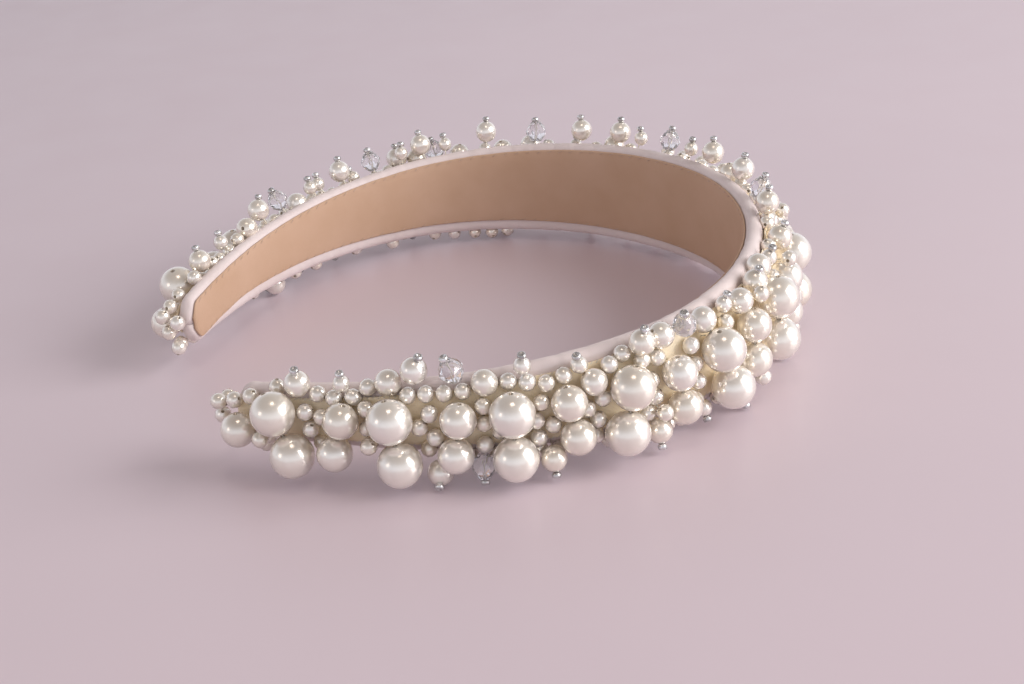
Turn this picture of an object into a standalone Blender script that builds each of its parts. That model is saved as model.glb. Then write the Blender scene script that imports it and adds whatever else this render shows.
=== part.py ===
"""Padded pearl headband, lying on its lower edge.

A springy hoop carries a foam pad. A satin cover wraps both and turns in over
the hoop's inner face, where a lining strip hides its edges. A sewn panel on
the outer face carries the pearls: pairs of 10 mm and 8 mm pearls stand across
the band, turn about, and small picots of a pearl and a stop bead stand out of
its edges. The crown is at +Y, the tips are at -Y, and the width is along Z.
"""

import bisect
import math

import bmesh
import bpy
from mathutils import Vector

MM = 0.001

# Outline of the opening, at the inner face of the cover's rims
HALF_WIDTH = 68.0 * MM
CROWN_DEPTH = 60.3 * MM
ARM_DEPTH = 73.3 * MM
TIP_SHARE = 0.373          # half of the gap between the tips, as a share of HALF_WIDTH
ARM_POWER = 2.15           # how late the arms curl in towards the tips
CROWN_POWER = 1.92         # 2 is an ellipse, less is more pointed

# Height of the band's edges above the surface that it lies on
LOW_AT_TIP = 6.9 * MM
LOW_AT_CROWN = 2.0 * MM
HIGH_AT_TIP = 19.2 * MM
HIGH_AT_CROWN = 30.4 * MM
TIP_ROUNDING = 4.4 * MM
TIP_BLUNTNESS = 0.72       # least share of the full width, at the very tip

# Layers, as distances outward from the inner face of the rims
GAP = 0.3 * MM
RIM_RADIUS = 1.9 * MM
DOME_RISE = 0.8 * MM
COVER_THICKNESS = 0.4 * MM
COVER_TURN_IN = 3.0 * MM
LINING_THICKNESS = 0.45 * MM
LINING_LOW_MARGIN = 3.4 * MM
LINING_HIGH_MARGIN = 1.2 * MM
HOOP_INSIDE = 0.7 * MM
HOOP_THICKNESS = 1.3 * MM
HOOP_MARGIN = 1.6 * MM
PAD_INSIDE = 2.3 * MM
PAD_MARGIN = 2.2 * MM
PANEL_THICKNESS = 0.4 * MM
PANEL_MARGIN = 2.5 * MM

# Pearls
BIG_RADIUS = 5.0 * MM
MEDIUM_RADIUS = 4.0 * MM
PICOT_RADIUS = 3.0 * MM
SEED_RADIUS = 1.1 * MM
THREAD_RADIUS = 0.35 * MM
PEARL_GAP = 0.4 * MM       # between the two pearls of a pair
ROW_COUNT = 31
FIRST_ROW = 15.7 * MM      # from the tip, along the line of the big pearls' middles
END_PEARL = 4.4 * MM       # the same for the single pearl at each tip
END_HEIGHT = 11.6 * MM
ROW_HEIGHT = 6.0 * MM      # of the lower big pearls' middles, at the tips
ROW_RISE = 3.8 * MM        # how much higher they are at the crown

# The rows are sewn by eye. From either tip to the middle of the crown: how far a row is from
# its even place, how many degrees its upper pearl leans towards the tip, and its extra height
ROW_CHART = (
    (0.9 * MM, 18.0, 0.7 * MM),
    (0.5 * MM, -17.0, 0.4 * MM),
    (0.5 * MM, 6.0, -0.3 * MM),
    (0.7 * MM, -9.0, -0.1 * MM),
    (-0.4 * MM, -1.0, -0.7 * MM),
    (-0.5 * MM, 9.0, 0.3 * MM),
    (-1.3 * MM, -11.0, -0.2 * MM),
    (-0.8 * MM, 6.0, -0.2 * MM),
    (-0.7 * MM, 15.0, 0.0 * MM),
    (-1.4 * MM, -1.0, 0.7 * MM),
    (-2.2 * MM, -1.0, 1.3 * MM),
    (-1.5 * MM, -12.0, 1.0 * MM),
    (-0.6 * MM, 8.0, 0.8 * MM),
    (0.2 * MM, -9.0, 0.4 * MM),
    (0.0 * MM, 12.0, 0.2 * MM),
    (0.0 * MM, 4.0, 0.0 * MM),
)

# Picots, which lean out of the band's edges
PROP_OUT = 7.2 * MM
PROP_HEIGHT = 3.35 * MM
PROP_LEAN = math.radians(120.0)
PROP_ROWS = (3.68, 14.42)  # their places along the band, counted in even rows from a tip
CRYSTAL_ROW = 14.1
CRYSTAL_OUT = 5.8 * MM
CRYSTAL_UP = 2.4 * MM
CRYSTAL_LEAN = math.radians(22.0)
CRYSTAL_RADIUS = 2.8 * MM
CRYSTAL_TABLE = 1.5 * MM
CRYSTAL_GIRDLE = 0.4 * MM
CRYSTAL_REACH = 2.7 * MM
CRYSTAL_FOOT = 4.0 * MM    # from the crystal's middle to where its thread enters the rim

# Facets
OUTLINE_POINTS = 800
BAND_STATIONS = 33         # odd, so that a flat facet lies at the middle of the crown
TIP_STATIONS = (0.0, 1.2 * MM, 3.0 * MM)
RIM_STEPS = 4
DOME_STEPS = 4
BALL_SEGMENTS = 12
BALL_RINGS = 8
TURN_STEPS = 10
ARC_STEPS = 6
WELD = 0.00001


class Line:
    """A plan curve, read by the distance along it from the right tip."""

    def __init__(self, points):
        self.points = points
        self.reach = [0.0]
        for here, following in zip(points, points[1:]):
            self.reach.append(self.reach[-1] + (following - here).length)
        self.length = self.reach[-1]

    def at(self, distance):
        """The point there, and the direction that faces out of the opening."""
        index = bisect.bisect_right(self.reach, distance) - 1
        index = min(max(index, 0), len(self.points) - 2)
        start, end = self.points[index], self.points[index + 1]
        share = (distance - self.reach[index]) / (end - start).length
        along = (end - start).normalized()
        return start.lerp(end, share), Vector((along.y, -along.x))

    def outset(self, offset):
        """The same curve, moved outward by an offset."""
        moved = []
        for distance in self.reach:
            point, out = self.at(distance)
            moved.append(point + out * offset)
        return Line(moved)


def opening_outline():
    """The opening's outline from the right tip over the crown to the left tip."""
    arm_points = OUTLINE_POINTS // 3
    arm = []
    for index in range(arm_points):
        back = 1.0 - index / arm_points
        across = HALF_WIDTH * (1.0 - (1.0 - TIP_SHARE) * back ** ARM_POWER)
        arm.append(Vector((across, -ARM_DEPTH * back)))
    crown = []
    crown_points = OUTLINE_POINTS - 2 * arm_points
    for index in range(crown_points + 1):
        angle = math.pi * index / crown_points
        across = math.copysign(abs(math.cos(angle)) ** (2.0 / CROWN_POWER), math.cos(angle))
        forward = abs(math.sin(angle)) ** (2.0 / CROWN_POWER)
        crown.append(Vector((HALF_WIDTH * across, CROWN_DEPTH * forward)))
    left_arm = [Vector((-point.x, point.y)) for point in reversed(arm)]
    return Line(arm + crown + left_arm)


def crownness(line, distance):
    """0 at the tips and 1 at the middle of the crown."""
    return math.sin(math.pi * min(max(distance / line.length, 0.0), 1.0))


def edges(line, distance):
    """The middle height and the half width of the band at a distance from the right tip."""
    crown = crownness(line, distance)
    low = LOW_AT_TIP + (LOW_AT_CROWN - LOW_AT_TIP) * crown ** 2
    high = HIGH_AT_TIP + (HIGH_AT_CROWN - HIGH_AT_TIP) * crown
    from_tip = min(distance, line.length - distance, TIP_ROUNDING) / TIP_ROUNDING
    rounding = max(math.sqrt(max(1.0 - (1.0 - from_tip) ** 2, 0.0)), TIP_BLUNTNESS)
    return (low + high) / 2.0, (high - low) / 2.0 * rounding


def stations(line):
    """Distances of the cross-sections, closer together at the rounded tips."""
    right = list(TIP_STATIONS)
    left = [line.length - distance for distance in reversed(TIP_STATIONS)]
    span = line.length - 2.0 * TIP_ROUNDING
    middle = [TIP_ROUNDING + span * index / BAND_STATIONS for index in range(BAND_STATIONS + 1)]
    return right + middle + left


def dome(share):
    """Outward offset of the cover's outer face, by its place across the band from -1 to 1."""
    return 2.0 * RIM_RADIUS + DOME_RISE * (1.0 - share ** 2)


def place(line, distance, out, height):
    """A point of the band in space."""
    point, outward = line.at(distance)
    point = point + outward * out
    return Vector((point.x, point.y, height))


def new_object(name, mesh, collection, material):
    """An object for a mesh, in its collection; the mesh keeps the first material it gets."""
    thing = bpy.data.objects.new(name, mesh)
    collection.objects.link(thing)
    if not mesh.materials:
        mesh.materials.append(material)
    return thing


def loft(name, columns, closed, capped):
    """A mesh through cross-sections; a closed one joins each section's ends."""
    shape = bmesh.new()
    rings = [[shape.verts.new(point) for point in column] for column in columns]
    rows = len(columns[0])
    row_pairs = [(row, (row + 1) % rows) for row in range(rows if closed else rows - 1)]
    for ring, following in zip(rings, rings[1:]):
        for row, above in row_pairs:
            shape.faces.new((ring[row], following[row], following[above], ring[above]))
    if capped:
        shape.faces.new(rings[0])
        shape.faces.new(reversed(rings[-1]))
    mesh = bpy.data.meshes.new(name)
    shape.to_mesh(mesh)
    shape.free()
    return mesh


def thicken(thing, thickness, offset):
    """Solidify an open surface: offset -1 grows inward, 0 both ways."""
    solidify = thing.modifiers.new("thickness", "SOLIDIFY")
    solidify.thickness = thickness
    solidify.offset = offset
    solidify.use_even_offset = True


def strip(name, line, collection, material, out, margins, thickness):
    """A flat layer that follows the band, narrower than it by its low and high margins."""
    columns = []
    for distance in stations(line)[1:-1]:
        middle, half = edges(line, distance)
        heights = (middle - half + margins[0], middle + half - margins[1])
        columns.append([place(line, distance, out, height) for height in heights])
    thing = new_object(name, loft(name, columns, False, False), collection, material)
    thicken(thing, thickness, 0.0)


def domed_heights(line, distance, margin):
    """Offsets and heights across the domed outer face, low to high."""
    middle, half = edges(line, distance)
    shares = [2.0 * step / DOME_STEPS - 1.0 for step in range(DOME_STEPS + 1)]
    rises = [share * (half - margin) for share in shares]
    return [(dome(rise / (half - RIM_RADIUS)), middle + rise) for rise in rises]


def make_panel(line, collection, material):
    """The sewn panel under the pearls, a skin on the cover's outer face."""
    out = GAP + PANEL_THICKNESS / 2.0
    columns = []
    for distance in stations(line)[1:-1]:
        section = domed_heights(line, distance, PANEL_MARGIN)
        columns.append([place(line, distance, offset + out, height) for offset, height in section])
    mesh = loft("bead_panel", columns, False, False)
    thicken(new_object("bead_panel", mesh, collection, material), PANEL_THICKNESS, 0.0)


def make_pad(line, collection, material):
    """The foam pad: flat against the hoop, domed under the cover."""
    inward = COVER_THICKNESS + GAP
    columns = []
    for distance in stations(line)[1:-1]:
        section = domed_heights(line, distance, PAD_MARGIN)
        column = [place(line, distance, offset - inward, height) for offset, height in section]
        column.append(place(line, distance, PAD_INSIDE, section[-1][1]))
        column.append(place(line, distance, PAD_INSIDE, section[0][1]))
        columns.append(column)
    new_object("foam_pad", loft("foam_pad", columns, True, True), collection, material)


def make_cover(line, collection, material):
    """The satin cover: rolled rims, a domed outer face and edges turned in under the lining."""
    columns = []
    for distance in stations(line):
        middle, half = edges(line, distance)
        rim_middle = half - RIM_RADIUS
        turn_in = min(COVER_TURN_IN, rim_middle * 0.6)
        section = [(0.0, middle - rim_middle + turn_in)]
        for step in range(RIM_STEPS):
            angle = math.pi * (1.0 + step / RIM_STEPS)
            out = RIM_RADIUS * (1.0 + math.cos(angle))
            section.append((out, middle - rim_middle + RIM_RADIUS * math.sin(angle)))
        section += domed_heights(line, distance, RIM_RADIUS)
        for step in range(1, RIM_STEPS + 1):
            angle = math.pi * step / RIM_STEPS
            out = RIM_RADIUS * (1.0 + math.cos(angle))
            section.append((out, middle + rim_middle + RIM_RADIUS * math.sin(angle)))
        section.append((0.0, middle + rim_middle - turn_in))
        columns.append([place(line, distance, out, height) for out, height in section])
    mesh = loft("satin_cover", columns, False, True)
    thicken(new_object("satin_cover", mesh, collection, material), COVER_THICKNESS, -1.0)


def ball_mesh(name, radius):
    """A round pearl about its own middle."""
    shape = bmesh.new()
    bmesh.ops.create_uvsphere(shape, u_segments=BALL_SEGMENTS, v_segments=BALL_RINGS, radius=radius)
    mesh = bpy.data.meshes.new(name)
    shape.to_mesh(mesh)
    shape.free()
    mesh.shade_smooth()
    return mesh


def ball_outline(height, radius, thread_above, thread_below):
    """Half outline of a ball, top to bottom; a thread leaves it where it is said to."""
    neck = math.asin(THREAD_RADIUS / radius)
    first = neck if thread_above else 0.0
    last = math.pi - neck if thread_below else math.pi
    outline = []
    for step in range(ARC_STEPS + 1):
        angle = first + (last - first) * step / ARC_STEPS
        across = radius * math.sin(angle) if 0.0 < angle < math.pi else 0.0
        outline.append((across, height + radius * math.cos(angle)))
    return outline


def crystal_outline(height):
    """Half outline of a cut crystal, top to bottom, with a thread at both ends."""
    upper = [(THREAD_RADIUS, CRYSTAL_REACH), (CRYSTAL_TABLE, CRYSTAL_REACH), (CRYSTAL_RADIUS, CRYSTAL_GIRDLE)]
    lower = [(across, -rise) for across, rise in reversed(upper)]
    return [(across, height + rise) for across, rise in upper + lower]


def outline_mesh(name, outline):
    """A half outline, top to bottom, ready to be turned about the upright axis."""
    shape = bmesh.new()
    points = [shape.verts.new((across, 0.0, height)) for across, height in outline]
    for upper, lower in zip(points, points[1:]):
        shape.edges.new((upper, lower))
    mesh = bpy.data.meshes.new(name)
    shape.to_mesh(mesh)
    shape.free()
    return mesh


def turn(thing, smooth=True):
    """Turn the object's half outline into a solid."""
    screw = thing.modifiers.new("turn", "SCREW")
    screw.steps = TURN_STEPS
    screw.render_steps = TURN_STEPS
    screw.use_merge_vertices = True
    screw.merge_threshold = WELD
    screw.use_smooth_shade = smooth


def low_row(line, distance):
    """Height of the lower big pearls' middles."""
    return ROW_HEIGHT + ROW_RISE * crownness(line, distance)


def pearl_row(big_line, pitch, row):
    """Where a row's middle is along the line, its point, and the direction to its upper pearl."""
    from_tip = min(row, ROW_COUNT + 1 - row)
    nudge, slant, rise = ROW_CHART[from_tip - 1]
    distance = FIRST_ROW + (from_tip - 1) * pitch + nudge
    sideways = -math.sin(math.radians(slant))
    if from_tip != row:
        distance = big_line.length - distance
        sideways = -sideways
    outward = big_line.at(distance)[1]
    along = Vector((-outward.y, outward.x)) * sideways
    middle = low_row(big_line, distance) + BIG_RADIUS + PEARL_GAP / 2.0 + rise
    return distance, middle, Vector((along.x, along.y, math.cos(math.radians(slant))))


def make_big_pearls(big_line, pitch, row, mesh, collection, material):
    """The two separate 10 mm pearls of a pair."""
    half_spacing = BIG_RADIUS + PEARL_GAP / 2.0
    distance, middle, upward = pearl_row(big_line, pitch, row)
    for side, way in (("lower", -1.0), ("upper", 1.0)):
        pearl = new_object(f"pearl_10mm_{side}_{row:02d}", mesh, collection, material)
        pearl.location = place(big_line, distance, 0.0, middle) + upward * half_spacing * way


def make_medium_pair(big_line, pitch, row, mesh, collection, material):
    """Two 8 mm pearls strung across the band."""
    distance, middle, upward = pearl_row(big_line, pitch, row)
    pair = new_object(f"pearl_8mm_pair_{row:02d}", mesh, collection, material)
    pair.location = place(big_line, distance, MEDIUM_RADIUS - BIG_RADIUS, middle)
    pair.rotation_euler = upward.to_track_quat("Z", "Y").to_euler()
    turn(pair)


def make_end_pearls(big_line, mesh, collection, material):
    """The single 8 mm pearl at each tip."""
    ends = (("right", END_PEARL), ("left", big_line.length - END_PEARL))
    for side, distance in ends:
        pearl = new_object(f"tip_pearl_8mm_{side}", mesh, collection, material)
        pearl.location = place(big_line, distance, MEDIUM_RADIUS - BIG_RADIUS, END_HEIGHT)


def lean(thing, line, distance, angle):
    """Turn an upright picot outward, by an angle from straight up."""
    outward = line.at(distance)[1]
    axis = Vector((outward.x * math.sin(angle), outward.y * math.sin(angle), math.cos(angle)))
    thing.rotation_euler = axis.to_track_quat("Z", "Y").to_euler()


def make_crystals(line, big_line, pitch, collection, material):
    """A cut crystal with a stop bead on each side of the crown's upper edge."""
    seed_up = CRYSTAL_REACH + GAP + SEED_RADIUS
    outline = ball_outline(seed_up, SEED_RADIUS, False, True) + crystal_outline(0.0)
    outline += [(THREAD_RADIUS, -CRYSTAL_FOOT), (0.0, -CRYSTAL_FOOT)]
    mesh = outline_mesh("crystal_picot", outline)
    share = (FIRST_ROW + (CRYSTAL_ROW - 1.0) * pitch) / big_line.length
    for side, distance in (("right", line.length * share), ("left", line.length * (1.0 - share))):
        middle, half = edges(line, distance)
        picot = new_object(f"crystal_picot_{side}", mesh, collection, material)
        picot.location = place(line, distance, CRYSTAL_OUT, middle + half + CRYSTAL_UP)
        lean(picot, line, distance, CRYSTAL_LEAN)
        turn(picot, smooth=False)


def make_props(big_line, big_out, pitch, collection, material):
    """Pearl picots under the lower edge; the headband rests on their stop beads."""
    seed_up = PICOT_RADIUS + GAP + SEED_RADIUS
    outline = ball_outline(seed_up, SEED_RADIUS, False, True)
    mesh = outline_mesh("bottom_picot", outline + ball_outline(0.0, PICOT_RADIUS, True, False))
    for where, row in zip(("arm", "crown"), PROP_ROWS):
        right = FIRST_ROW + (row - 1.0) * pitch
        for side, distance in (("right", right), ("left", big_line.length - right)):
            picot = new_object(f"{where}_picot_{side}", mesh, collection, material)
            picot.location = place(big_line, distance, PROP_OUT - big_out, PROP_HEIGHT)
            lean(picot, big_line, distance, PROP_LEAN)
            turn(picot)


def finish(name, colour, roughness):
    """A plain Principled material."""
    material = bpy.data.materials.new(name)
    material.use_nodes = True
    shader = material.node_tree.nodes["Principled BSDF"]
    shader.inputs["Base Color"].default_value = (*colour, 1.0)
    shader.inputs["Roughness"].default_value = roughness
    return material


def stand_on_origin(collection):
    """Move everything so that the origin is under the middle of the box around it."""
    bpy.context.view_layer.update()
    depsgraph = bpy.context.evaluated_depsgraph_get()
    points = []
    for thing in collection.objects:
        evaluated = thing.evaluated_get(depsgraph)
        points += [evaluated.matrix_world @ vertex.co for vertex in evaluated.data.vertices]
    front = min(point.y for point in points)
    back = max(point.y for point in points)
    bottom = min(point.z for point in points)
    for thing in collection.objects:
        thing.location -= Vector((0.0, (front + back) / 2.0, bottom))


def main():
    for thing in list(bpy.data.objects):
        bpy.data.objects.remove(thing, do_unlink=True)
    headband = bpy.data.collections.new("headband")
    bpy.context.scene.collection.children.link(headband)

    ivory = finish("ivory_pearl", (0.87, 0.82, 0.73), 0.18)
    satin = finish("blush_satin", (0.80, 0.68, 0.66), 0.45)
    nude = finish("nude_lining", (0.62, 0.44, 0.32), 0.80)
    cream = finish("cream_panel", (0.78, 0.69, 0.55), 0.75)
    plastic = finish("hoop_plastic", (0.85, 0.83, 0.78), 0.40)
    foam = finish("white_foam", (0.90, 0.89, 0.86), 0.95)
    crystal = finish("clear_crystal", (0.90, 0.93, 0.96), 0.03)

    line = opening_outline()
    hoop_out = HOOP_INSIDE + HOOP_THICKNESS / 2.0
    lining_out = -GAP - LINING_THICKNESS / 2.0
    hoop_margins = (HOOP_MARGIN, HOOP_MARGIN)
    strip("hoop_core", line, headband, plastic, hoop_out, hoop_margins, HOOP_THICKNESS)
    lining_margins = (LINING_LOW_MARGIN, LINING_HIGH_MARGIN)
    strip("inner_lining", line, headband, nude, lining_out, lining_margins, LINING_THICKNESS)
    make_pad(line, headband, foam)
    make_cover(line, headband, satin)
    make_panel(line, headband, cream)

    big_out = 2.0 * RIM_RADIUS + DOME_RISE + 2.0 * GAP + PANEL_THICKNESS + BIG_RADIUS
    big_line = line.outset(big_out)
    pitch = (big_line.length - 2.0 * FIRST_ROW) / (ROW_COUNT - 1)
    big = ball_mesh("pearl_10mm", BIG_RADIUS)
    medium = ball_mesh("pearl_8mm", MEDIUM_RADIUS)
    half_spacing = MEDIUM_RADIUS + PEARL_GAP / 2.0
    upper = ball_outline(half_spacing, MEDIUM_RADIUS, False, True)
    lower = ball_outline(-half_spacing, MEDIUM_RADIUS, True, False)
    medium_pair = outline_mesh("pearl_8mm_pair", upper + lower)
    for row in range(1, ROW_COUNT + 1):
        if row % 2:
            make_big_pearls(big_line, pitch, row, big, headband, ivory)
        else:
            make_medium_pair(big_line, pitch, row, medium_pair, headband, ivory)
    make_end_pearls(big_line, medium, headband, ivory)
    make_props(big_line, big_out, pitch, headband, ivory)
    make_crystals(line, big_line, pitch, headband, crystal)
    stand_on_origin(headband)


main()
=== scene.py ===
"""Looks of the padded pearl headband: cover, lining, sewn panel, strung beads, floor and light."""

import bisect
import math
import random

import bmesh
import bpy
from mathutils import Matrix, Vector, noise


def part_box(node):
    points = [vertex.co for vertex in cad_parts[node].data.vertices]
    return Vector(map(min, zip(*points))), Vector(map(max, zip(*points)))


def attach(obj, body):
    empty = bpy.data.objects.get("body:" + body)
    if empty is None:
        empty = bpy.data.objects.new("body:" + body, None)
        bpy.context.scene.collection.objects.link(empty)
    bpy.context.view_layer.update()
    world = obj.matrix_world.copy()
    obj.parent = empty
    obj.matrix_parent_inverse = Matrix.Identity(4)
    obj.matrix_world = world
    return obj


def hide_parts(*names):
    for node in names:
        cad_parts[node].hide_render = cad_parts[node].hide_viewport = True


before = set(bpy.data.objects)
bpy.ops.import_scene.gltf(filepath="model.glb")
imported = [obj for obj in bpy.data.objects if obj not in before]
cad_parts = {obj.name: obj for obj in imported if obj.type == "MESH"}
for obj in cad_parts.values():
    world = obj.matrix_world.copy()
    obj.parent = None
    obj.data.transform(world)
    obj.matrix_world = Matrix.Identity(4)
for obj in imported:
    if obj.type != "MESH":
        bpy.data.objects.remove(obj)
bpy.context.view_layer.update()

MM = 0.001

# ---------------------------------------------------------------- the band's dimensions

HALF_WIDTH = 68.0 * MM
CROWN_DEPTH = 60.3 * MM
ARM_DEPTH = 73.3 * MM
TIP_SHARE = 0.373
ARM_POWER = 2.15
CROWN_POWER = 1.92
LOW_AT_TIP = 6.9 * MM
LOW_AT_CROWN = 2.0 * MM
HIGH_AT_TIP = 19.2 * MM
HIGH_AT_CROWN = 30.4 * MM
TIP_ROUNDING = 4.4 * MM
TIP_BLUNTNESS = 0.72
TIP_CLOSE = 2.2 * MM       # over this length the cover closes round the tip
RIM = 1.9 * MM             # radius of the rolled rims
DOME_RISE = 0.8 * MM
COVER_THICKNESS = 0.4 * MM
COVER_TURN_IN = 3.0 * MM
LINING_FACE = 0.75 * MM    # how far the lining stands in from the rims
LINING_THICKNESS = 0.45 * MM
LINING_LOW_MARGIN = 3.4 * MM
LINING_HIGH_MARGIN = 1.2 * MM
PANEL_FACE = 0.7 * MM      # how far the panel's face stands on the dome
PANEL_THICKNESS = 0.4 * MM
PANEL_MARGIN = 2.5 * MM
OUTLINE_POINTS = 800

# ---------------------------------------------------------------- the beads' dimensions

BIG = 5.0 * MM
MEDIUM = 4.0 * MM
SMALL = 3.0 * MM
TINY = 2.0 * MM
SEED = 1.1 * MM
CRYSTAL_REACH = 2.7 * MM
BIG_OUT = 10.6 * MM
PEARL_GAP = 0.4 * MM
ROW_COUNT = 31
FIRST_ROW = 15.7 * MM
END_PEARL = 4.4 * MM
END_HEIGHT = 11.6 * MM
ROW_HEIGHT = 6.0 * MM
ROW_RISE = 3.8 * MM
PROP_OUT = 7.2 * MM
PROP_HEIGHT = 3.35 * MM
PROP_LEAN = math.radians(120.0)
PROP_ROWS = (3.68, 14.42)
CRYSTAL_ROW = 14.1
CRYSTAL_OUT = 5.8 * MM
CRYSTAL_UP = 2.4 * MM
CRYSTAL_LEAN = math.radians(22.0)
CRYSTAL_FOOT = 4.0 * MM
THREAD = 0.16 * MM
SITTING_GAP = 0.06 * MM    # between a bead and what it sits on
SINK = 0.33                # share of its radius that a bead sinks into the padded rim

# From either tip to the middle of the crown: how far a row is from its even place, how many
# degrees its upper pearl leans towards the tip, and its extra height
ROW_CHART = (
    (0.9 * MM, 18.0, 0.7 * MM),
    (0.5 * MM, -17.0, 0.4 * MM),
    (0.5 * MM, 6.0, -0.3 * MM),
    (0.7 * MM, -9.0, -0.1 * MM),
    (-0.4 * MM, -1.0, -0.7 * MM),
    (-0.5 * MM, 9.0, 0.3 * MM),
    (-1.3 * MM, -11.0, -0.2 * MM),
    (-0.8 * MM, 6.0, -0.2 * MM),
    (-0.7 * MM, 15.0, 0.0 * MM),
    (-1.4 * MM, -1.0, 0.7 * MM),
    (-2.2 * MM, -1.0, 1.3 * MM),
    (-1.5 * MM, -12.0, 1.0 * MM),
    (-0.6 * MM, 8.0, 0.8 * MM),
    (0.2 * MM, -9.0, 0.4 * MM),
    (0.0 * MM, 12.0, 0.2 * MM),
    (0.0 * MM, 4.0, 0.0 * MM),
)

# 4 mm pearls on an arm: rows from the tip, and millimetres up the band's face from its middle
TINY_CHART = (
    (0.8, 6.2), (0.55, 3.0), (0.6, -3.6), (1.28, 2.6), (1.47, -1.0), (1.62, 6.0), (1.89, 5.0),
    (2.24, 5.4), (2.49, 6.7), (2.47, 3.4), (1.68, 1.8), (1.55, -5.4), (2.52, -0.4), (2.5, -4.4),
    (3.25, 6.0), (3.54, 6.1), (3.61, 2.4), (3.41, -0.4), (3.64, -2.6), (3.5, -6.2), (3.93, 6.2),
    (4.22, 6.5), (4.5, 3.0), (4.45, -0.6), (4.59, -3.9), (4.5, -6.8), (4.91, 7.3), (5.25, 7.1),
    (5.65, 6.4), (5.95, 6.9), (5.48, 2.5), (5.41, -1.5), (5.7, -3.4), (5.37, -5.9), (5.42, -8.6),
    (6.63, 6.6), (6.87, 7.9), (6.51, 2.4), (6.37, -0.4), (6.47, -3.5), (6.45, -7.0), (7.36, 5.5),
    (7.69, 6.0), (7.4, 1.8), (7.46, -2.2), (7.42, -6.2), (8.35, 5.6), (8.4, 1.2), (8.45, -3.0),
    (8.4, -7.4), (9.3, 6.6), (9.35, 2.6), (9.5, -1.6), (9.4, -5.6),
)
SMALL_CHART = ((2.91, 6.4), (4.57, 6.9), (6.26, 5.6), (7.95, 7.6), (8.8, 6.6), (9.8, 7.4))
# 4 mm pearls round the tip: row from the tip, out from the opening and height, in millimetres
TIP_CHART = (
    (-0.36, 6.6, 16.2), (-0.02, 6.4, 17.1), (0.31, 6.0, 18.3), (-0.42, 2.4, 15.0), (-0.4, 3.4, 8.2),
    (-0.1, 4.8, 7.5), (0.42, 5.0, 6.5), (0.12, 6.2, 13.2), (-0.4, 5.4, 12.2),
)

# Picots on an arm: row from the tip, millimetres up the face from its middle, how far the bead
# stands off, what it is, and how far its thread leans to the crown, in degrees
PICOT_CHART = (
    (1.27, 6.6, 0.4, "small", 6.0), (2.11, 7.1, 1.5, "tiny", 6.0), (3.40, 8.5, 1.4, "small", 28.0),
    (4.04, 8.7, 1.4, "crystal", -24.0), (5.23, 9.1, 1.5, "tiny", 2.0), (6.18, 8.8, 1.2, "tiny", -14.0),
    (7.30, 9.8, 1.4, "small", 4.0), (8.19, 10.3, 1.4, "crystal", -14.0), (9.35, 10.2, 0.4, "tiny", 8.0),
    (10.4, 10.3, 0.4, "small", -6.0), (11.5, 10.6, 0.6, "tiny", 0.0), (12.4, 10.9, 1.0, "small", 5.0),
    (1.9, -6.2, 0.6, "tiny", 0.0), (3.70, -7.4, 2.4, "plain", 0.0), (4.51, -8.0, 2.6, "crystal", 0.0),
    (5.62, -8.5, 2.6, "small", 0.0), (6.6, -9.0, 1.0, "tiny", 8.0), (7.5, -9.6, 1.6, "small", -6.0),
    (8.6, -10.2, 1.0, "tiny", 0.0), (9.5, -10.6, 1.4, "small", 4.0), (10.5, -11.0, 1.0, "tiny", 0.0),
    (11.6, -11.4, 1.2, "small", 0.0), (12.6, -11.8, 1.0, "tiny", 0.0),
)
# Picots on the upper rim, in even rows from the right tip: what each is, and how it leans
CROWN_PICOTS = (
    (13.2, "small", 8.0), (15.2, "small", -4.0), (16.5, "small", 6.0), (17.2, "tiny", -8.0),
    (18.7, "tiny", 10.0), (19.3, "small", -3.0), (20.3, "small", 5.0), (21.4, "crystal", 4.0),
    (22.6, "small", -6.0), (23.6, "tiny", 6.0), (24.1, "small", 2.0), (24.7, "tiny", -8.0),
    (25.4, "crystal", 7.0), (26.2, "small", -5.0), (27.0, "tiny", 4.0),
)
CHARTED_ROWS = 9.9         # past these the small pearls go wherever there is room
EDGE_PITCH = 5.4 * MM      # of the small pearls along the edges there
FILL_TRIES = 9000
HEAP_TRIES = 5000
HEAP_LIFT = (1.2 * MM, 4.2 * MM)
HEAP_GAP = 0.12 * MM
FILL_SEED = 7


class Line:
    """A plan curve, read by the distance along it from the right tip."""

    def __init__(self, points):
        self.points = points
        self.reach = [0.0]
        for here, following in zip(points, points[1:]):
            self.reach.append(self.reach[-1] + (following - here).length)
        self.length = self.reach[-1]

    def at(self, distance):
        """The point there, and the direction that faces out of the opening."""
        index = bisect.bisect_right(self.reach, distance) - 1
        index = min(max(index, 0), len(self.points) - 2)
        start, end = self.points[index], self.points[index + 1]
        share = (distance - self.reach[index]) / (end - start).length
        along = (end - start).normalized()
        return start.lerp(end, share), Vector((along.y, -along.x))

    def outset(self, offset):
        """The same curve, moved outward by an offset."""
        moved = []
        for distance in self.reach:
            point, out = self.at(distance)
            moved.append(point + out * offset)
        return Line(moved)


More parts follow.
